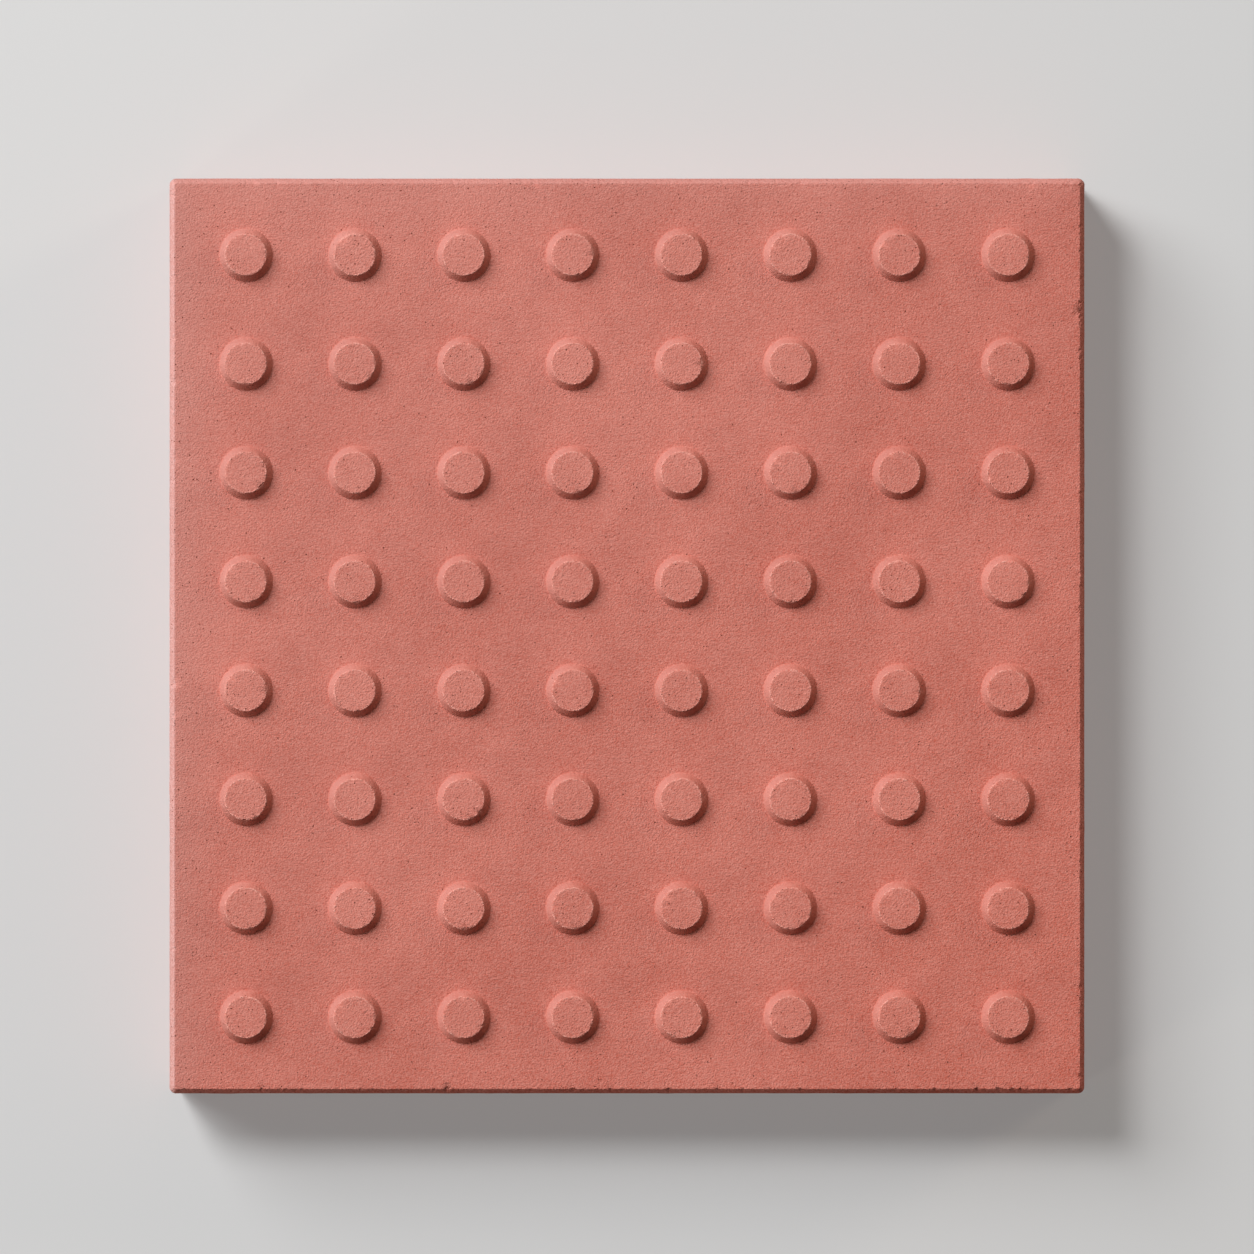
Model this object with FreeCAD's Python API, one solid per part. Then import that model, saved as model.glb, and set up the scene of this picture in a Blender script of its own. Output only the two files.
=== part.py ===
import FreeCAD, Part
import math
import os

# Tactile paving slab: one pressed concrete flag with a square grid of flat-topped blisters
# on its walking face. It lies on its bed face.
# Millimetres, +Z up, origin at the middle of the bed face.

# Flag
SLAB_LENGTH = 400.0  # along X
SLAB_WIDTH = 400.0  # along Y
SLAB_THICKNESS = 50.0  # bed face to walking face, blisters not counted
CORNER_RADIUS = 3.0  # plan radius of the upright edges

# Bevelled arris round the walking face
ARRIS_RUN = 2.2  # how far the bevel comes in from the side
ARRIS_DROP = 4.0  # how far it reaches down the side
FACE_CORNER_RADIUS = 0.8  # plan radius of the walking face's corners

# Blisters
BLISTER_PITCH = 47.5  # centre to centre, along X and along Y
BLISTER_TOP_DIAMETER = 18.0
BLISTER_FLANK_RUN = 2.75  # how far the flank spreads from the flat top to its foot
BLISTER_HEIGHT = 5.0

NODE = "paving_slab"
UP = FreeCAD.Vector(0, 0, 1)


def plan_outline(length, width, corner_radius, height):
    """Closed wire of a rounded rectangle round the Z axis: a corner and a straight, four times."""
    inner_x = length / 2 - corner_radius
    inner_y = width / 2 - corner_radius
    centres = [(inner_x, inner_y), (-inner_x, inner_y), (-inner_x, -inner_y), (inner_x, -inner_y)]

    def on_corner(quarter, turn):
        x, y = centres[quarter % 4]
        angle = (quarter + turn) * math.pi / 2
        reach_x = corner_radius * math.cos(angle)
        reach_y = corner_radius * math.sin(angle)
        return FreeCAD.Vector(x + reach_x, y + reach_y, height)

    edges = []
    for quarter in range(4):
        corner = Part.Arc(on_corner(quarter, 0), on_corner(quarter, 0.5), on_corner(quarter, 1))
        straight = Part.LineSegment(on_corner(quarter, 1), on_corner(quarter + 1, 0))
        edges += [corner.toShape(), straight.toShape()]
    return Part.Wire(edges)


def make_flag():
    """The flag without blisters: upright sides, then a bevel from the sides in to the walking face."""
    bevel_foot = SLAB_THICKNESS - ARRIS_DROP
    bed_outline = plan_outline(SLAB_LENGTH, SLAB_WIDTH, CORNER_RADIUS, 0)
    foot_outline = plan_outline(SLAB_LENGTH, SLAB_WIDTH, CORNER_RADIUS, bevel_foot)
    face_outline = plan_outline(
        SLAB_LENGTH - 2 * ARRIS_RUN, SLAB_WIDTH - 2 * ARRIS_RUN, FACE_CORNER_RADIUS, SLAB_THICKNESS
    )
    body = Part.Face(bed_outline).extrude(UP * bevel_foot)
    bevel = Part.makeLoft([foot_outline, face_outline], True, True)
    return body.fuse(bevel)


def make_blister(x, y):
    """One blister standing on the walking face: a flat-topped cone."""
    top_radius = BLISTER_TOP_DIAMETER / 2
    base_radius = top_radius + BLISTER_FLANK_RUN
    foot = FreeCAD.Vector(x, y, SLAB_THICKNESS)
    return Part.makeCone(base_radius, top_radius, BLISTER_HEIGHT, foot)


def row_places(side):
    """Blister centres along one side: as many as there are whole pitches in it, centred."""
    count = int(side // BLISTER_PITCH)
    return [(index - (count - 1) / 2) * BLISTER_PITCH for index in range(count)]


def make_slab():
    """The whole slab: the flag and its grid of blisters, moulded as one solid."""
    places = [(x, y) for y in row_places(SLAB_WIDTH) for x in row_places(SLAB_LENGTH)]
    blisters = [make_blister(x, y) for x, y in places]
    return make_flag().fuse(blisters).removeSplitter()


os.makedirs("parts", exist_ok=True)
slab = make_slab()
slab.exportStep(os.path.join("parts", NODE + ".step"))
print(f"{NODE}: {len(slab.Solids)} solid, {len(slab.Faces)} faces, {slab.Volume / 1e6:.3f} litres")
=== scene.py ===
import math

import bpy
import numpy as np
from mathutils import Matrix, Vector


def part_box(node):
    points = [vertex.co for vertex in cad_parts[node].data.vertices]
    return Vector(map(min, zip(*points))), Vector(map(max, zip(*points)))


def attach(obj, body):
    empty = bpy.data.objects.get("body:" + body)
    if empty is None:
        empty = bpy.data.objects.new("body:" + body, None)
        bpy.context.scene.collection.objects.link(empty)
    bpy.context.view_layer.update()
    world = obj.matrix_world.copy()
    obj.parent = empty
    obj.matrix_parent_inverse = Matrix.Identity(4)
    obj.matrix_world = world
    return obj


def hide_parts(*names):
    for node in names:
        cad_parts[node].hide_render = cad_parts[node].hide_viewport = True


# A tactile paving slab: one pressed concrete flag, coloured right through, with flat-topped blisters.
# Metres, +Z up. The slab lies on its bed face and is seen from straight above.

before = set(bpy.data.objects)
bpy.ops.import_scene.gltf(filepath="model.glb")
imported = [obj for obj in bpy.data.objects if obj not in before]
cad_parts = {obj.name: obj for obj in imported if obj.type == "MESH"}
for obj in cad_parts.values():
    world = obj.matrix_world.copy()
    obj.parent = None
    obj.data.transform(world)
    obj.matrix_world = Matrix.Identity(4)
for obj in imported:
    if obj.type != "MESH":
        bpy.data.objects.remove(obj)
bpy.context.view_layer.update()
NODE = "paving_slab"
slab_low, slab_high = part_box(NODE)

# Sizes of the flag, which the solid also has
HALF_SIDE = slab_high.x
BLISTER_HEIGHT = 0.005
TOP_LEVEL = slab_high.z
FACE_LEVEL = TOP_LEVEL - BLISTER_HEIGHT
CORNER_RADIUS = 0.003
FACE_CORNER_RADIUS = 0.0008
ARRIS_RUN = 0.0022
ARRIS_DROP = 0.004
FACE_EDGE = HALF_SIDE - ARRIS_RUN  # half the side of the walking face inside its bevel
ARRIS_FOOT = FACE_LEVEL - ARRIS_DROP  # level at which the bevel meets the side

# Sizes of the blisters
BLISTERS_PER_SIDE = 8
MIDDLE_BLISTER = (BLISTERS_PER_SIDE - 1) / 2  # where the middle of a row is, in blisters from its first
BLISTER_PITCH = 0.0475
BLISTER_TOP_RADIUS = 0.009
FLANK_RUN = 0.00275

# Roundings left by the mould and by handling
RIM_ROUNDING = 0.0004
ROOT_ROUNDING = 0.00025
FACE_EDGE_ROUNDING = 0.0005
SIDE_EDGE_ROUNDING = 0.0015
BED_EDGE_ROUNDING = 0.0012

# Steps of the surface
STEPS_ROUND_BLISTER = 80
STEPS_PER_PITCH = STEPS_ROUND_BLISTER // 4
FINE_STEPS = 4  # fine steps along the arris for each step of the blister grid
EDGE_ARC_POINTS = 4  # on the arcs round a blister's rim and the face's edge
LESSER_ARC_POINTS = 3  # on the arcs at a blister's root, under the arris and at the bed
TOP_RING = 0.5  # the ring inside a blister's top, as a share of the top's radius
FLANK_RINGS = (0.15, 0.85)  # rings on a flank, as shares of the way down
FACE_RINGS = (0.45, 1.0)  # rings round a blister, as shares of the way out to its square cell
SIDE_STEPS = 5  # from under the arris down to the bed
BED_STEPS = 32
INSIDE_EDGE = 0.0005  # from a rounded edge in to the ring that keeps the flat inside it flat
PAST_ROOT = 0.00025  # from a blister's root out to the ring that keeps the face round it flat
UNDER_ARRIS = 0.002  # from the arris down to where the steps along the side get coarse
BED_INSET = 0.01  # from the rounding of the bed's edge in to its square grid
WELD_STEPS = 1e8  # points alike to this many steps a metre are welded
TINY = 1e-9  # keeps a divisor off zero

# Relief
FACE_SWELL = 0.00006  # depth of the shallow hollows in the walking face
RIM_CHIP = 0.0007  # depth of the deepest chip out of a blister's rim
RIM_REACH = 0.0006  # how far from a rim it is worn
ARRIS_CHIP = 0.0009
ARRIS_REACH = 0.0016  # how far from the face's edge it is chipped
PAST_ARRIS = 0.0007  # over which wear on the arris fades out past it, twice that down the side
SIDE_ROUGHNESS = 0.0003

# How far the arris is made pale, by wear and by a painted highlight strongest on the left side, which faces
# the lamps, and how far the face's margin beside it is paler and pitted: left, back, right and front side
ARRIS_WEAR_AND_HIGHLIGHT = (1.0, 0.32, 0.10, 0.0)
MARGIN_PALING = (0.25, 0.13, 0.0, 0.0)
PALING_REACH = 0.030  # how far in from the sides the margins are paler
MARGIN_PITS = (0.9, 0.6, 0.4, 0.35)
PITTED_MARGIN = 0.04  # how far in from the sides they are pitted
PAINTED_FLANK_HIGHLIGHT = 0.28  # painted highlight: paler on the flanks that face left, towards the lamps
FACE_PALING = 0.28  # paler all over at the back left corner, thinning to none at the front right one
HIGHLIGHT_FROM = math.radians(165.0)  # the way the flanks with the painted highlight face, round from +X

# Noises that wear the surface, each as its share, its cell and its seed
HOLLOWS = ((FACE_SWELL, 0.035, 1),)
ROUGH_SIDES = ((SIDE_ROUGHNESS, 0.006, 5),)
RIM_CHIPS = ((0.65, 0.0015, 2), (0.35, 0.0034, 3))
ARRIS_CHIPS = ((0.7, 0.0012, 7), (0.3, 0.003, 8))
HARD_USE = ((1.0, 0.02, 4),)
PATCHES = ((1.0, 0.05, 6),)

# Chips, each as the noise past which they start, how steeply they deepen from there, and their share of
# the full depth where use was lightest
RIM_CHIPPING = (0.575, 5.0, 0.35)
ARRIS_CHIPPING = (0.64, 9.0, 0.3)
ARRIS_RAGGED = 0.08  # unevenness of the arris between its chips, as a share of the deepest

# How thickly pinholes lie, out of 1
PITS_EVERYWHERE = 0.05
PITS_IN_PATCHES = 0.27
PITS_ON_TOPS = 0.55
PITS_ON_RIMS = 0.2
PITS_ON_ARRIS = 0.3
PITS_ON_SIDES = 0.3

# Picture: the photograph's frame is FRAME_PIXELS square and shows the face at PIXELS_PER_METRE
FRAME_PIXELS = 1254
PIXELS_PER_METRE = 2291.0
SLAB_BELOW_MIDDLE = 9.0  # pixels from the frame's middle down to the slab's
LENS = 280.0
SENSOR = 36.0
SEES_AS_FAR_AS = 100.0


def rounded_corner(corner, before, after, radius, count):
    """Points of the arc that rounds a corner of a profile. before and after are unit vectors along the
    line that comes in and the one that goes out. The arc touches both, at radius times the tangent of half
    the turn from the corner, and turns evenly from the one direction to the other."""
    corner, before, after = (np.array(v, float) for v in (corner, before, after))
    turn = math.acos(np.clip(before @ after, -1, 1))
    start = corner - before * radius * math.tan(turn / 2)
    square_on = (after - before * math.cos(turn)) / math.sin(turn)
    angle = np.linspace(0, turn, count)[:, None]
    return start + radius * (np.sin(angle) * before + (1 - np.cos(angle)) * square_on)


def blister_profile():
    """Radius and height above the walking face of each ring of a blister, from near the middle of its top
    to just past its foot: a flat top, an arc round the rim, a straight flank and a hollow arc at its root."""
    slope = math.atan2(BLISTER_HEIGHT, FLANK_RUN)
    outwards = (1.0, 0.0)
    down = (math.cos(slope), -math.sin(slope))
    rim = rounded_corner((BLISTER_TOP_RADIUS, BLISTER_HEIGHT), outwards, down, RIM_ROUNDING, EDGE_ARC_POINTS)
    foot = (BLISTER_TOP_RADIUS + FLANK_RUN, 0.0)
    root = rounded_corner(foot, down, outwards, ROOT_ROUNDING, LESSER_ARC_POINTS)
    top_radii = np.array([TOP_RING * BLISTER_TOP_RADIUS, rim[0, 0] - INSIDE_EDGE])
    top = np.column_stack([top_radii, np.full(len(top_radii), BLISTER_HEIGHT)])
    flank = rim[-1] + (root[0] - rim[-1]) * np.array(FLANK_RINGS)[:, None]
    past_root = root[-1:] + np.array([[PAST_ROOT, 0.0]])
    return np.concatenate([top, rim, flank, root, past_root])


def blister_cells():
    """Points and faces of the walking face's square cells, each with its blister in the middle.
    A ring runs round the cell's middle by an angle. Inside the foot it is a circle with the profile's
    radius and height. Outside it goes over in even shares to the cell's square, whose points are as far
    along each side as their angle is along that side's quarter turn."""
    profile = blister_profile()
    angle = np.arange(STEPS_ROUND_BLISTER) * 2 * math.pi / STEPS_ROUND_BLISTER
    circle = np.column_stack([np.cos(angle), np.sin(angle)])
    quarter = np.round(angle / (math.pi / 2)) * math.pi / 2
    across = (angle - quarter) / (math.pi / 4)
    square = np.column_stack([
        np.cos(quarter) - across * np.sin(quarter),
        np.sin(quarter) + across * np.cos(quarter),
    ]) * BLISTER_PITCH / 2
    round_rings = profile[:, 0, None, None] * circle
    share = np.array(FACE_RINGS)[:, None, None]
    square_rings = (1 - share) * round_rings[-1] + share * square
    rings = np.concatenate([round_rings, square_rings])
    height = np.concatenate([profile[:, 1], np.zeros(len(share))]) + FACE_LEVEL

    middle = (np.arange(BLISTERS_PER_SIDE) - MIDDLE_BLISTER) * BLISTER_PITCH
    centres = np.stack(np.meshgrid(middle, middle), -1).reshape(-1, 1, 1, 2)
    plan = centres + rings
    level = np.broadcast_to(height[:, None, None], (*plan.shape[:-1], 1))
    ring_points = np.concatenate([plan, level], -1)
    poles = np.column_stack([centres.reshape(-1, 2), np.full(len(centres), TOP_LEVEL)])

    index = np.arange(ring_points[..., 0].size).reshape(ring_points.shape[:-1])
    ahead = np.roll(index, -1, axis=2)
    quads = np.stack([index[:, :-1], index[:, 1:], ahead[:, 1:], ahead[:, :-1]], -1)
    pole_index = index.size + np.arange(len(poles))[:, None]
    pole_index = np.broadcast_to(pole_index, index[:, 0].shape)
    fans = np.stack([pole_index, index[:, 0], ahead[:, 0]], -1)
    points = np.concatenate([ring_points.reshape(-1, 3), poles])
    return points, quads.reshape(-1, 4), fans.reshape(-1, 3)


def square_loops(half, radius, level, steps):
    """Closed loops round the Z axis, one for each half side, corner radius and level, as an array of loops
    by points by 3. A point runs evenly along a side, and where it comes within the corner radius of the
    side's end it turns onto the corner's arc, up to the middle of it."""
    half, radius, level = (np.asarray(v, float)[:, None, None] for v in (half, radius, level))
    across = (np.arange(steps) * 2 / steps - 1)[None, None, :] * half
    into_corner = np.maximum(np.abs(across) - (half - radius), 0)
    turn = into_corner / np.maximum(radius, TINY) * math.pi / 4
    out = half - radius * (1 - np.cos(turn))
    along = np.where(into_corner > 0, np.sign(across) * (half - radius + radius * np.sin(turn)), across)
    quarter = (np.arange(4) * math.pi / 2)[None, :, None]
    x = out * np.cos(quarter) - along * np.sin(quarter)
    y = out * np.sin(quarter) + along * np.cos(quarter)
    loops = np.stack([x, y, np.broadcast_to(level, x.shape)], -1)
    return loops.reshape(len(loops), 4 * steps, 3)


def loop_quads(first, loops, count):
    """Quads between each loop and the next, whose points are numbered from first."""
    index = first + np.arange(loops * count).reshape(loops, count)
    ahead = np.roll(index, -1, axis=1)
    return np.stack([index[:-1], index[1:], ahead[1:], ahead[:-1]], -1).reshape(-1, 4)


def widen(coarse, fine):
    """Triangles from a loop out to one with a whole number of finer steps for each of its own. A coarse
    point fans out to the fine steps nearest to it, and one triangle joins it with the next coarse point."""
    ratio = len(fine) // len(coarse)
    half = (ratio + 1) // 2
    fine = np.append(fine, fine[0])
    start = np.arange(len(coarse)) * ratio
    ahead = np.roll(coarse, -1)
    fans = [
        (coarse if step < half else ahead, fine[start + step], fine[start + step + 1])
        for step in range(ratio)
    ]
    fans.append((coarse, fine[start + half], ahead))
    return np.concatenate([np.column_stack(fan) for fan in fans])


def narrow(fine, coarse):
    """Triangles from a loop of fine steps on to one of coarse steps, the other way round from widen."""
    return widen(coarse, fine)[:, [1, 0, 2]]


def rim_of_flag():
    """Half side and level of the points on the three arcs of the flag's edge: from the walking face onto the
    bevelled arris, from there onto the side, and from the side onto the bed. Straight lines join them."""
    slope = math.atan2(ARRIS_DROP, ARRIS_RUN)
    outwards = (1.0, 0.0)
    bevel = (math.cos(slope), -math.sin(slope))
    down = (0.0, -1.0)
    inwards = (-1.0, 0.0)
    upper = rounded_corner((FACE_EDGE, FACE_LEVEL), outwards, bevel, FACE_EDGE_ROUNDING, EDGE_ARC_POINTS)
    lower = rounded_corner((HALF_SIDE, ARRIS_FOOT), bevel, down, SIDE_EDGE_ROUNDING, LESSER_ARC_POINTS)
    bed = rounded_corner((HALF_SIDE, 0.0), down, inwards, BED_EDGE_ROUNDING, LESSER_ARC_POINTS)
    return upper, lower, bed


def corner_radius_at(half):
    """Plan radius of a loop's corners: the walking face's at its edge, and the side's at the side."""
    share = (half - FACE_EDGE) / ARRIS_RUN
    return FACE_CORNER_RADIUS + np.clip(share, 0, 1) * (CORNER_RADIUS - FACE_CORNER_RADIUS)


def flag_edge(first):
    """Points and faces of everything outside the blister grid: the face's margin, the arris, the sides and
    the bed. Loops of the grid's steps lie on the margin and low on the sides, and loops of fine steps over
    the arris, where it is chipped."""
    grid_half = BLISTERS_PER_SIDE * BLISTER_PITCH / 2
    coarse_steps = BLISTERS_PER_SIDE * STEPS_PER_PITCH
    upper, lower, bed = rim_of_flag()
    margin_half = np.array([grid_half, (grid_half + upper[0, 0]) / 2, upper[0, 0] - INSIDE_EDGE])
    margin_level = np.full(len(margin_half), FACE_LEVEL)
    margin = square_loops(margin_half, np.zeros(len(margin_half)), margin_level, coarse_steps)
    bevel_middle = (upper[-1:] + lower[:1]) / 2
    under_arris = lower[-1:] - np.array([[0.0, UNDER_ARRIS]])
    arris_profile = np.concatenate([upper, bevel_middle, lower, under_arris])
    arris = square_loops(
        arris_profile[:, 0], corner_radius_at(arris_profile[:, 0]), arris_profile[:, 1],
        coarse_steps * FINE_STEPS,
    )
    side_levels = np.linspace(under_arris[0, 1], bed[0, 1], SIDE_STEPS + 1)[1:]
    side_profile = np.concatenate([np.column_stack([np.full(SIDE_STEPS, HALF_SIDE), side_levels]), bed[1:]])
    side = square_loops(
        side_profile[:, 0], np.full(len(side_profile), CORNER_RADIUS), side_profile[:, 1], coarse_steps
    )
    bed_half = bed[-1, 0] - BED_INSET
    bed_loop = square_loops([bed_half], [0.0], [0.0], BED_STEPS)

    groups = [margin, arris, side, bed_loop]
    starts = first + np.cumsum([0] + [g.shape[0] * g.shape[1] for g in groups])
    quads = [loop_quads(start, g.shape[0], g.shape[1]) for start, g in zip(starts, groups)]
    first_loop = [start + np.arange(g.shape[1]) for start, g in zip(starts, groups)]
    last_loop = [end - g.shape[1] + np.arange(g.shape[1]) for end, g in zip(starts[1:], groups)]
    triangles = [
        widen(last_loop[0], first_loop[1]),
        narrow(last_loop[1], first_loop[2]),
        narrow(last_loop[2], first_loop[3]),
    ]

    place = np.linspace(-bed_half, bed_half, BED_STEPS + 1)
    bed_x, bed_y = np.meshgrid(place, place)
    bed_points = np.stack([bed_x, bed_y, np.zeros_like(bed_x)], -1).reshape(-1, 3)
    bed_index = starts[-1] + np.arange(len(bed_points)).reshape(BED_STEPS + 1, BED_STEPS + 1)
    near, far = bed_index[:-1], bed_index[1:]
    bed_quads = np.stack([near[:, :-1], far[:, :-1], far[:, 1:], near[:, 1:]], -1)
    points = np.concatenate([g.reshape(-1, 3) for g in groups] + [bed_points])
    return points, np.concatenate(quads + [bed_quads.reshape(-1, 4)]), np.concatenate(triangles)


# Large odd factors that spread the three numbers of a lattice corner, and the seed, over many bits. Then the
# rounds in which the bits are mixed, each as a shift and a factor, and the bits that are kept
CORNER_FACTORS = np.array([73856093, 19349663, 83492791], np.uint64)
SEED_FACTOR = 2654435761
BIT_MIXES = ((15, 2246822519), (13, 3266489917), (16, 1))
KEPT_BITS = 0xFFFF


def eased(share):
    """A share from 0 to 1 that starts and ends gently: its square, times 3 less twice the share."""
    return share * share * (3 - 2 * share)


def lattice_noise(points, cell, seed):
    """Smooth random values from 0 to 1. Each corner of a cubic lattice with that cell has a random value,
    made by mixing the bits of its three numbers, and a point takes the eased mix of the eight round it."""
    place = points / cell
    base = np.floor(place).astype(np.int64)
    ease = eased(place - base)
    total = np.zeros(len(points))
    for corner in np.ndindex(2, 2, 2):
        numbers = (base + corner).astype(np.uint64)
        mixed = np.bitwise_xor.reduce(numbers * CORNER_FACTORS, axis=1) ^ np.uint64(seed * SEED_FACTOR)
        for shift, factor in BIT_MIXES:
            mixed = (mixed ^ (mixed >> np.uint64(shift))) * np.uint64(factor)
        value = (mixed & np.uint64(KEPT_BITS)).astype(float) / KEPT_BITS
        total += value * np.prod(np.where(corner, ease, 1 - ease), axis=1)
    return total


def mixed_noise(points, parts):
    """The sum of several lattice noises, each by its own share."""
    return sum(share * lattice_noise(points, cell, seed) for share, cell, seed in parts)


def from_blister_axis(points):
    """Each point's place in plan from the axis of the nearest blister."""
    plan = points[:, :2]
    nearest = np.clip(np.round(plan / BLISTER_PITCH + MIDDLE_BLISTER), 0, BLISTERS_PER_SIDE - 1)
    return plan - (nearest - MIDDLE_BLISTER) * BLISTER_PITCH


def band(value, middle, width):
    """1 at the middle of a band, falling to 0 at width either side of it, eased at both ends."""
    return eased(np.clip(1 - np.abs(value - middle) / width, 0, 1))


def up_blister(points):
    """How far up a blister each point is: 0 on the walking face and below it, 1 on a blister's top."""
    return np.clip((points[:, 2] - FACE_LEVEL) / BLISTER_HEIGHT, 0, 1)


def rim_share(points):
    """How near each point is to the rim of a blister's top, from 0 to 1."""
    radius = np.hypot(*from_blister_axis(points).T)
    return band(radius, BLISTER_TOP_RADIUS, RIM_REACH) * (up_blister(points) > 0.5)


def flank_share(points):
    """1 on a blister's flank and 0 on flat ground, eased over a fifth of the height at each end."""
    high = up_blister(points)
    return np.clip(5 * np.minimum(high, 1 - high), 0, 1)


def top_share(points):
    """1 on a blister's top, falling to 0 within a tenth of its height."""
    return np.clip(10 * up_blister(points) - 9, 0, 1)


def inside_sides(points):
    """Each point's distance in from the left, back, right and front side, as four rows."""
    x, y, _ = points.T
    return HALF_SIDE + np.stack([x, -y, -x, y])


def arris_line_share(points):
    """How near each point is to the line where the walking face meets the arris, from 0 to 1."""
    inside = inside_sides(points).min(axis=0)
    return band(inside, ARRIS_RUN, ARRIS_REACH) * (points[:, 2] > ARRIS_FOOT)


def on_arris(points, shares):
    """Each side's own share over its bevel, gone just past the bevel's two lines."""
    over = np.clip((ARRIS_RUN + PAST_ARRIS - inside_sides(points)) / PAST_ARRIS, 0, 1)
    up = np.clip(1 + (points[:, 2] - ARRIS_FOOT) / (2 * PAST_ARRIS), 0, 1)
    return np.max(over * np.array(shares)[:, None], axis=0) * up


def arris_wear_and_highlight(points):
    """How pale the arris is made: by wear, and by a painted highlight strongest on the left side, which faces
    the lamps.
    """
    return on_arris(points, ARRIS_WEAR_AND_HIGHLIGHT)


def pale_tone_and_highlight_share(points):
    """How far the colour is turned paler: thinly all over, by how far each point is along the diagonal to the
    back left corner, and more along the left and back margins, fading in over the face, and on the blisters'
    flanks by how far each faces left, where it is a painted highlight on the flanks that face the lamps."""
    all_over = FACE_PALING * (0.5 + (points[:, 1] - points[:, 0]) / (4 * HALF_SIDE))
    margin = np.clip(1 - inside_sides(points) / PALING_REACH, 0, 1) ** 2 * np.array(MARGIN_PALING)[:, None]
    off_axis = from_blister_axis(points)
    along = off_axis @ np.array([math.cos(HIGHLIGHT_FROM), math.sin(HIGHLIGHT_FROM)])
    faces_left = np.clip(along / np.maximum(np.hypot(*off_axis.T), TINY), 0, 1)
    # painted highlight: the flanks that face left, towards the lamps, are made paler
    flank_highlight = PAINTED_FLANK_HIGHLIGHT * faces_left * flank_share(points)
    strongest = np.max(np.vstack([margin, flank_highlight]), axis=0)
    return (all_over + strongest) * (points[:, 2] > ARRIS_FOOT)


def pitted_share(points):
    """How thickly pinholes lie: most on the blisters' tops, the arris and the sides, more along the margins
    than elsewhere, and everywhere in patches."""
    margin = np.clip(1 - inside_sides(points) / PITTED_MARGIN, 0, 1) * np.array(MARGIN_PITS)[:, None]
    low = points[:, 2] < ARRIS_FOOT
    face = PITS_EVERYWHERE + PITS_IN_PATCHES * mixed_noise(points, PATCHES) + margin.max(axis=0)
    blister = PITS_ON_TOPS * top_share(points) + PITS_ON_RIMS * rim_share(points)
    edges = PITS_ON_ARRIS * on_arris(points, (1, 1, 1, 1)) + PITS_ON_SIDES * low
    return np.clip(face + blister + edges, 0, 1)


def chip_share(noise_value, hard_use, start, steepness, lightest):
    """How deep an edge is chipped, from 0 to 1: nothing up to start, then deeper by steepness times what the
    noise is past it, and all of it by a share from lightest to 1 as use was harder."""
    return np.clip((noise_value - start) * steepness, 0, 1) * (lightest + (1 - lightest) * hard_use)


def chipped(outwards, depth):
    """How points of an edge move as one where it is chipped: in and down at 45 degrees, by the chip's depth.
    outwards is the plan direction in which the edge faces, of any length."""
    across = outwards / np.maximum(np.hypot(*outwards.T), TINY)[:, None]
    in_and_down = np.column_stack([-across, -np.ones(len(depth))]) / math.sqrt(2)
    return in_and_down * depth[:, None]


def weathered(points, normals):
    """Where each point lies after moulding and handling: broad shallow hollows all over and rough sides,
    both along the normal, and chips out of the blisters' rims and the arris where a fine noise passes a
    threshold, deeper where another noise stands for hard use. Nothing comes out past the true form."""
    low = points[:, 2] < ARRIS_FOOT
    hollow = mixed_noise(points, HOLLOWS) + mixed_noise(points, ROUGH_SIDES) * low
    hard_use = mixed_noise(points, HARD_USE)
    fine = mixed_noise(points, RIM_CHIPS)
    rim = RIM_CHIP * chip_share(fine, hard_use, *RIM_CHIPPING) * rim_share(points)
    finer = mixed_noise(points, ARRIS_CHIPS)
    nicks = chip_share(finer, hard_use, *ARRIS_CHIPPING)
    arris = ARRIS_CHIP * (nicks + ARRIS_RAGGED * finer) * arris_line_share(points)
    nearest_side = np.argmin(inside_sides(points), axis=0)
    faces_out = np.array([(-1.0, 0.0), (0.0, 1.0), (1.0, 0.0), (0.0, -1.0)])[nearest_side]
    moved = points - normals * hollow[:, None]
    return moved + chipped(from_blister_axis(points), rim) + chipped(faces_out, arris)


# Values that the mesh carries for its material, in the order in which the material takes them
MESH_VALUES = {
    "rim": rim_share, "flank": flank_share, "top": top_share, "arris": arris_wear_and_highlight, "pale_tone_and_highlight": pale_tone_and_highlight_share,
    "pitted": pitted_share,
}


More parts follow.
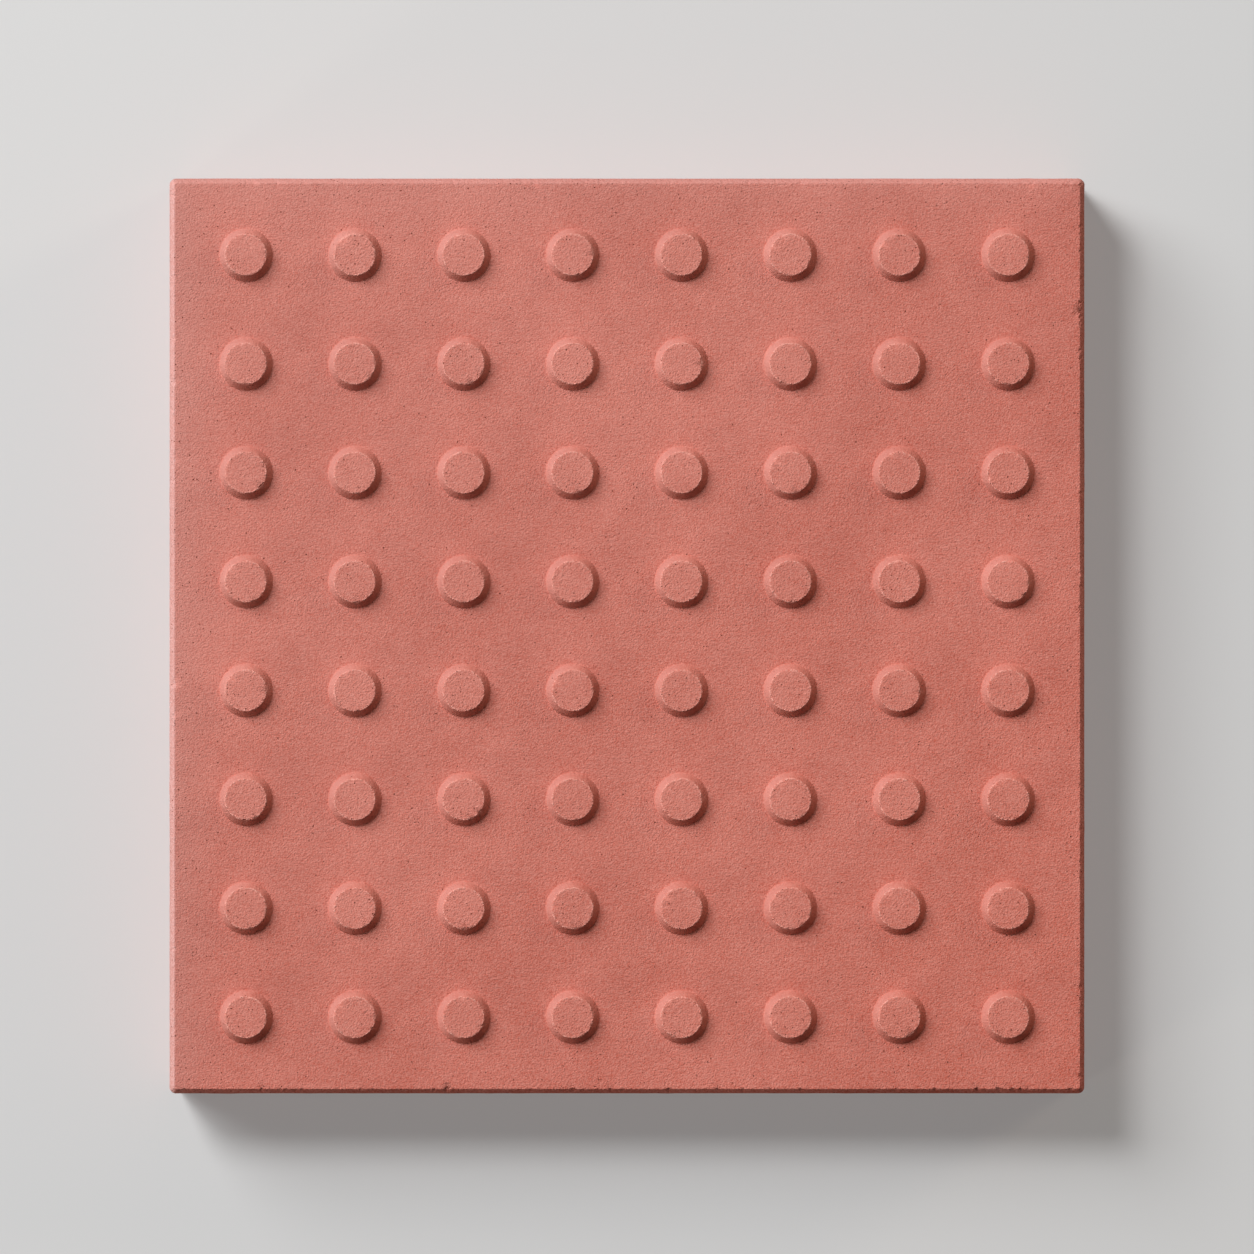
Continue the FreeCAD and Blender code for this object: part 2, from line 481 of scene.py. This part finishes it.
def make_slab():
    """The slab's mesh: blister cells and flag edge, welded into one closed surface, then worn in along its
    own normals and chipped at its edges."""
    cell_points, cell_quads, cell_fans = blister_cells()
    edge_points, edge_quads, edge_triangles = flag_edge(len(cell_points))
    points = np.concatenate([cell_points, edge_points])
    rounded = np.round(points * WELD_STEPS).astype(np.int64)
    _, kept, number = np.unique(rounded, axis=0, return_index=True, return_inverse=True)
    points = points[kept]
    number = number.reshape(-1)
    quads = number[np.concatenate([cell_quads, edge_quads])]
    triangles = number[np.concatenate([cell_fans, edge_triangles])]

    mesh = bpy.data.meshes.new(NODE + "_concrete")
    mesh.vertices.add(len(points))
    mesh.vertices.foreach_set("co", points.astype(np.float32).ravel())
    corners = np.concatenate([quads.ravel(), triangles.ravel()])
    sizes = np.concatenate([np.full(len(quads), 4), np.full(len(triangles), 3)])
    mesh.loops.add(len(corners))
    mesh.loops.foreach_set("vertex_index", corners.astype(np.int32))
    mesh.polygons.add(len(sizes))
    mesh.polygons.foreach_set("loop_start", (np.cumsum(sizes) - sizes).astype(np.int32))
    mesh.update(calc_edges=True)
    mesh.polygons.foreach_set("use_smooth", np.ones(len(sizes), bool))

    normals = np.empty(len(points) * 3, np.float32)
    mesh.vertex_normals.foreach_get("vector", normals)
    worn_points = weathered(points, normals.reshape(-1, 3))
    mesh.vertices.foreach_set("co", worn_points.astype(np.float32).ravel())
    for name, value in MESH_VALUES.items():
        layer = mesh.attributes.new(name, "FLOAT", "POINT")
        layer.data.foreach_set("value", value(points).astype(np.float32))
    mesh.update()
    slab = bpy.data.objects.new("slab_concrete", mesh)
    bpy.context.scene.collection.objects.link(slab)
    return slab


def add(tree, kind, **values):
    """A new node. Values named after an input set that input, and the others are its own settings."""
    node = tree.nodes.new("ShaderNode" + kind)
    for name, value in values.items():
        words = name.replace("_", " ").title()
        if words in node.inputs:
            node.inputs[words].default_value = value
        else:
            setattr(node, name, value)
    return node


def maths(tree, operation, *terms):
    """A Math node on these terms, each a number or an output, and its result."""
    node = add(tree, "Math", operation=operation)
    for socket, term in zip(node.inputs, terms):
        if isinstance(term, (int, float)):
            socket.default_value = term
        else:
            tree.links.new(term, socket)
    return node.outputs[0]


def ramp(tree, value, low, high, to_low=0.0, to_high=1.0):
    """value carried from low..high to to_low..to_high, eased and held at the ends."""
    node = add(tree, "MapRange", interpolation_type="SMOOTHSTEP")
    node.inputs["From Min"].default_value = low
    node.inputs["From Max"].default_value = high
    node.inputs["To Min"].default_value = to_low
    node.inputs["To Max"].default_value = to_high
    tree.links.new(value, node.inputs["Value"])
    return node.outputs["Result"]


def blend(tree, share, first, second):
    """A colour mixed from first to second by share, which is an output. A colour is an output or a tuple.
    Of a Mix node's sockets, inputs 6 and 7 and output 2 are its colours."""
    node = add(tree, "Mix", data_type="RGBA")
    for socket, term in zip((node.inputs[0], node.inputs[6], node.inputs[7]), (share, first, second)):
        if isinstance(term, tuple):
            socket.default_value = (*term, 1.0)
        else:
            tree.links.new(term, socket)
    return node.outputs[2]


def new_group(name, inputs, outputs):
    """An empty shader node group with a Place vector, these number inputs and these number outputs."""
    group = bpy.data.node_groups.new(name, "ShaderNodeTree")
    group.interface.new_socket("Place", in_out="INPUT", socket_type="NodeSocketVector")
    for label, value in inputs.items():
        socket = group.interface.new_socket(label, in_out="INPUT", socket_type="NodeSocketFloat")
        socket.default_value = value
    for label in outputs:
        group.interface.new_socket(label, in_out="OUTPUT", socket_type="NodeSocketFloat")
    return group, group.nodes.new("NodeGroupInput").outputs, group.nodes.new("NodeGroupOutput").inputs


def noise(tree, place, scale, detail=0.0, roughness=0.5):
    """A noise texture's value at place. place and scale are outputs."""
    node = add(tree, "TexNoise", detail=detail, roughness=roughness)
    tree.links.new(place, node.inputs["Vector"])
    tree.links.new(scale, node.inputs["Scale"])
    return node.outputs["Fac"]


# Noises of the sand grain, each as how many times finer than a grain it is and its share
GRAIN_NOISES = ((1.8, 0.79), (1.0, 0.46), (0.5, 0.225), (0.2, 0.16))
FLECK_SHIFT = 7.3  # metres that keep the flecks' noise apart from the heights'

# Pinholes and clouds
SMALLEST_HOLE = 0.4  # as a share of the largest pinhole's radius
HOLE_WALL = 0.3  # share of a pinhole's radius over which it falls away
SMALLER_CLOUDS = 5.0  # how many times smaller they are than the broad ones
BROAD_CLOUDS = 0.65  # their share of the clouding
CLOUD_DETAIL = 3.0
BROAD_ROUGHNESS = 0.55
SMALLER_ROUGHNESS = 0.6
CLOUD_SPAN = (0.32, 0.68)  # noise from the deepest to the palest cloud


def sand_grain_group():
    """Sand grains in the concrete's skin. Height and Fleck are each a sum of four noises about 0, from a
    little finer than a grain, which is the strongest, to five grains across."""
    group, given, out = new_group("sand_grain", {"Grains per Metre": 800.0}, ["Height", "Fleck"])
    for label, shift in (("Height", 0.0), ("Fleck", FLECK_SHIFT)):
        moved = add(group, "VectorMath", operation="ADD")
        group.links.new(given["Place"], moved.inputs[0])
        moved.inputs[1].default_value = (shift, shift, shift)
        total = 0.0
        for step, share in GRAIN_NOISES:
            scale = maths(group, "MULTIPLY", given["Grains per Metre"], step)
            value = maths(group, "SUBTRACT", noise(group, moved.outputs[0], scale), 0.5)
            total = maths(group, "MULTIPLY_ADD", value, share, total)
        group.links.new(total, out[label])
    return group


def pinhole_group():
    """Pinholes left by air. Each cell of a Voronoi lattice has a random point and two random numbers: by
    the one it holds a hole or not, as Share says, and the other, squared, sets the hole's radius, from
    SMALLEST_HOLE times Radius up to Radius."""
    inputs = {"Cells per Metre": 650.0, "Share": 0.15, "Radius": 0.0004}
    group, given, out = new_group("pinholes", inputs, ["Hole"])
    cells = add(group, "TexVoronoi", randomness=1.0)
    group.links.new(given["Place"], cells.inputs["Vector"])
    group.links.new(given["Cells per Metre"], cells.inputs["Scale"])
    chance = add(group, "SeparateColor")
    group.links.new(cells.outputs["Color"], chance.inputs["Color"])
    distance = maths(group, "DIVIDE", cells.outputs["Distance"], given["Cells per Metre"])
    squared = maths(group, "POWER", chance.outputs["Red"], 2.0)
    size = maths(group, "MULTIPLY_ADD", squared, 1 - SMALLEST_HOLE, SMALLEST_HOLE)
    radius = maths(group, "MULTIPLY", size, given["Radius"])
    there = maths(group, "LESS_THAN", chance.outputs["Green"], given["Share"])
    depth = maths(group, "SUBTRACT", 1.0, maths(group, "DIVIDE", distance, radius))
    inside = ramp(group, depth, 0.0, HOLE_WALL)
    group.links.new(maths(group, "MULTIPLY", inside, there), out["Hole"])
    return group


def clouding_group():
    """Uneven colour from pigment and drying: broad clouds with smaller ones over them, from 0 to 1."""
    group, given, out = new_group("clouding", {"Clouds per Metre": 14.0}, ["Cloud"])
    broad = noise(group, given["Place"], given["Clouds per Metre"], CLOUD_DETAIL, BROAD_ROUGHNESS)
    closer = maths(group, "MULTIPLY", given["Clouds per Metre"], SMALLER_CLOUDS)
    smaller = noise(group, given["Place"], closer, CLOUD_DETAIL, SMALLER_ROUGHNESS)
    broad_part = maths(group, "MULTIPLY", broad, BROAD_CLOUDS)
    smaller_part = maths(group, "MULTIPLY", smaller, 1 - BROAD_CLOUDS)
    both = maths(group, "ADD", broad_part, smaller_part)
    group.links.new(ramp(group, both, *CLOUD_SPAN), out["Cloud"])
    return group


def use_group(tree, group, place, **given):
    """A group placed in a material, with its place and other outputs linked to the inputs of their names."""
    node = tree.nodes.new("ShaderNodeGroup")
    node.node_tree = group
    tree.links.new(place, node.inputs["Place"])
    for label, output in given.items():
        tree.links.new(output, node.inputs[label])
    return node.outputs


def attribute(tree, name):
    """A value that the mesh carries at each point."""
    return add(tree, "Attribute", attribute_name=name).outputs["Fac"]


# Colours of the concrete, linear
PALE_RED = (0.610, 0.189, 0.144)
DEEP_RED = (0.529, 0.147, 0.108)
# the pale line on the rims, partly wear and partly a painted highlight, and the paler tops
PALE_RIM_AND_TOP_PINK = (0.800, 0.370, 0.305)
FLANK_PINK = (0.480, 0.212, 0.170)
# the pale arris: wear, and a painted highlight strongest on the left side, which faces the lamps
ARRIS_PINK = (0.620, 0.340, 0.315)
# paler tone; on the flanks that face left it is a painted highlight
PALE_TONE_AND_HIGHLIGHT = (0.480, 0.265, 0.240)
# painted shade inside the pinholes
HOLE_SHADE_BROWN = (0.215, 0.060, 0.042)
FLECK_TINT = (0.20, 0.176, 0.161)  # from a fleck of -0.5 to one of 0.5

# How strongly each finish shows
HOLES_AT_MOST = 0.5  # share of the pinholes' cells that hold one where they lie thickest
FLANK_GRAIN = 0.8  # grain on the flanks, as a share of the face's
RIM_GRAIN = 0.4  # grain that the rims have more
# the pale line on the rims is partly wear and partly a painted highlight
RIM_WEAR_AND_HIGHLIGHT = 0.8
TOP_PALING = 0.09
FLANK_FADE = 0.2
ARRIS_PATCHES = 0.6  # paling of the arris, wear and painted highlight, in the grain's hollows, as a share of that on its heights
GRAIN_DEPTH = 0.00036
HOLE_DEPTH = 0.5  # in grain depths
SMOOTHEST = 0.84
ROUGHEST = 0.96
SHEEN = 0.03
PALING_HEIGHTS = (-0.03, 0.10)  # grain heights from which the pale line on rims and arris shows, and at which it is full
FLECK_SPAN = (-0.13, 0.13)  # flecks from the roughest to the smoothest


def concrete_material(groups):
    """Red concrete as it comes from a smooth mould: clouded colour, sand flecks, a paler tone towards the
    back left corner and margins with a painted highlight on the flanks that face left, pinholes with painted
    shade in them, paler tops, a pale line on rims and arris that is partly wear and partly a painted
    highlight, and a fine grain that is weaker on the flanks and stronger on the rims."""
    material = bpy.data.materials.new("red_concrete")
    material.use_nodes = True
    tree = material.node_tree
    shader = tree.nodes["Principled BSDF"]
    place = add(tree, "TexCoord").outputs["Object"]
    rim, flank, top, arris, pale_tone_and_highlight, pitted = (attribute(tree, name) for name in MESH_VALUES)
    cloud = use_group(tree, groups["clouding"], place)["Cloud"]
    grain = use_group(tree, groups["sand_grain"], place)
    share = maths(tree, "MULTIPLY", pitted, HOLES_AT_MOST)
    hole = use_group(tree, groups["pinholes"], place, Share=share)["Hole"]

    smoother = ramp(tree, flank, 0.0, 1.0, 1.0, FLANK_GRAIN)
    fleck = maths(tree, "MULTIPLY", grain["Fleck"], smoother)
    flecked = add(tree, "VectorMath", operation="MULTIPLY_ADD")
    flecked.inputs[1].default_value = FLECK_TINT
    tree.links.new(fleck, flecked.inputs[0])
    tree.links.new(blend(tree, cloud, DEEP_RED, PALE_RED), flecked.inputs[2])
    patchy = ramp(tree, grain["Height"], *PALING_HEIGHTS)
    # a pale line on the rims, partly wear and partly a painted highlight, and paler tops
    pale_top = maths(tree, "MULTIPLY", top, TOP_PALING)
    pale_rims_and_tops = maths(tree, "MULTIPLY_ADD", rim, maths(tree, "MULTIPLY", patchy, RIM_WEAR_AND_HIGHLIGHT), pale_top)
    colour = blend(tree, maths(tree, "MULTIPLY", flank, FLANK_FADE), flecked.outputs["Vector"], FLANK_PINK)
    colour = blend(tree, pale_rims_and_tops, colour, PALE_RIM_AND_TOP_PINK)
    # paler tone over the face and margins, and a painted highlight on the flanks that face left
    colour = blend(tree, pale_tone_and_highlight, colour, PALE_TONE_AND_HIGHLIGHT)
    # pale arris: wear, and a painted highlight strongest on the left side, which faces the lamps
    arris_wear_and_highlight_mix = maths(tree, "MULTIPLY", arris, ramp(tree, patchy, 0.0, 1.0, ARRIS_PATCHES, 1.0))
    colour = blend(tree, arris_wear_and_highlight_mix, colour, ARRIS_PINK)
    # painted shade inside the pinholes, which the bump only dents
    colour = blend(tree, hole, colour, HOLE_SHADE_BROWN)
    tree.links.new(colour, shader.inputs["Base Color"])
    roughness = ramp(tree, grain["Fleck"], *FLECK_SPAN, ROUGHEST, SMOOTHEST)
    tree.links.new(roughness, shader.inputs["Roughness"])
    shader.inputs["Specular IOR Level"].default_value = SHEEN

    strength = maths(tree, "MULTIPLY_ADD", rim, RIM_GRAIN, smoother)
    relief = maths(tree, "MULTIPLY", grain["Height"], strength)
    relief = maths(tree, "SUBTRACT", relief, maths(tree, "MULTIPLY", hole, HOLE_DEPTH))
    bump = add(tree, "Bump", strength=1.0, distance=GRAIN_DEPTH)
    tree.links.new(relief, bump.inputs["Height"])
    tree.links.new(bump.outputs["Normal"], shader.inputs["Normal"])
    return material


# Floor, background and the light from all round
FLOOR_REACH = 30.0
FLOOR_GAP = 0.0002  # keeps the floor clear of the bed
FLOOR_ROUGHNESS = 0.8
FLOOR_SHEEN = 0.2
FLOOR_GREY = 0.42
FLOOR_GLOW = 0.20  # what is seen of the floor in shadow too
FLOOR_BOUNCE = 0.30  # what the floor throws back onto the slab
BACKGROUND_GREY = 0.62
SKY_WARMTH = (1.08, 0.97, 0.86)
SKY = 0.024  # light from all round, as a share of what the walking face gets

# Lamps, all equally far off: direction round from +X and up from the floor in degrees, diameter, power
# and colour
LAMP_DISTANCE = 5.0
LAMPS = {
    "key": (130.0, 55.0, 1.4, 139.0, (1.0, 1.0, 1.0)),
    "low_key": (139.0, 35.5, 3.0, 210.0, (0.98, 1.0, 1.01)),
    "left_fill": (214.0, 9.0, 1.1, 60.0, (1.08, 0.94, 0.82)),
    "right_fill": (30.0, 17.0, 1.5, 50.0, (1.14, 0.92, 0.72)),
}


def seen_rays(tree):
    """1 for a ray by which the floor or the background is seen, straight or in a shiny or clear thing."""
    rays = add(tree, "LightPath").outputs
    seen = maths(tree, "MAXIMUM", rays["Is Camera Ray"], rays["Is Transmission Ray"])
    return maths(tree, "MAXIMUM", seen, rays["Is Glossy Ray"])


def make_floor():
    """A plain pale floor under the slab: one square."""
    reach = FLOOR_REACH
    level = slab_low.z - FLOOR_GAP
    mesh = bpy.data.meshes.new("floor")
    mesh.from_pydata(
        [(-reach, -reach, level), (reach, -reach, level), (reach, reach, level), (-reach, reach, level)],
        [], [(0, 1, 2, 3)],
    )
    floor = bpy.data.objects.new("floor", mesh)
    bpy.context.scene.collection.objects.link(floor)
    material = bpy.data.materials.new("floor_grey")
    material.use_nodes = True
    tree = material.node_tree
    shader = tree.nodes["Principled BSDF"]
    seen = seen_rays(tree)
    tree.links.new(ramp(tree, seen, 0.0, 1.0, FLOOR_BOUNCE, FLOOR_GREY), shader.inputs["Base Color"])
    shader.inputs["Emission Color"].default_value = (1.0, 1.0, 1.0, 1.0)
    tree.links.new(maths(tree, "MULTIPLY", seen, FLOOR_GLOW), shader.inputs["Emission Strength"])
    shader.inputs["Roughness"].default_value = FLOOR_ROUGHNESS
    shader.inputs["Specular IOR Level"].default_value = FLOOR_SHEEN
    mesh.materials.append(material)


def make_lights():
    """Two soft lights from the back left, the lower one the broader, two weak ones that graze the face from
    either side, and an even weak light from all round. Past the floor, the camera sees a pale grey."""
    for name, (round_z, up, size, power, colour) in LAMPS.items():
        lamp = bpy.data.lights.new(name, "AREA")
        lamp.shape = "DISK"
        lamp.size = size
        lamp.energy = power
        lamp.color = colour
        level = math.cos(math.radians(up))
        towards = Vector((
            level * math.cos(math.radians(round_z)), level * math.sin(math.radians(round_z)),
            math.sin(math.radians(up)),
        ))
        holder = bpy.data.objects.new(name, lamp)
        holder.location = towards * LAMP_DISTANCE
        holder.rotation_euler = towards.to_track_quat("Z", "Y").to_euler()
        holder.visible_camera = False
        bpy.context.scene.collection.objects.link(holder)

    world = bpy.data.worlds.new("studio")
    bpy.context.scene.world = world
    world.use_nodes = True
    tree = world.node_tree
    background = tree.nodes["Background"]
    seen = seen_rays(tree)
    tree.links.new(ramp(tree, seen, 0.0, 1.0, SKY, BACKGROUND_GREY), background.inputs["Strength"])
    tree.links.new(blend(tree, seen, SKY_WARMTH, (1.0, 1.0, 1.0)), background.inputs["Color"])


def make_camera():
    """A long lens straight above, far enough off for the frame to hold FRAME_PIXELS at PIXELS_PER_METRE."""
    camera = bpy.data.objects.new("camera", bpy.data.cameras.new("camera"))
    camera.data.lens = LENS
    camera.data.sensor_width = SENSOR
    camera.data.clip_end = SEES_AS_FAR_AS
    distance = FRAME_PIXELS / PIXELS_PER_METRE * LENS / SENSOR
    camera.location = (0.0, SLAB_BELOW_MIDDLE / PIXELS_PER_METRE, FACE_LEVEL + distance)
    bpy.context.scene.collection.objects.link(camera)
    bpy.context.scene.camera = camera


slab = make_slab()
groups = {"sand_grain": sand_grain_group(), "pinholes": pinhole_group(), "clouding": clouding_group()}
slab.data.materials.append(concrete_material(groups))
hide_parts(NODE)
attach(slab, "root")

make_floor()
make_lights()
make_camera()
bpy.context.scene.view_settings.view_transform = "Standard"
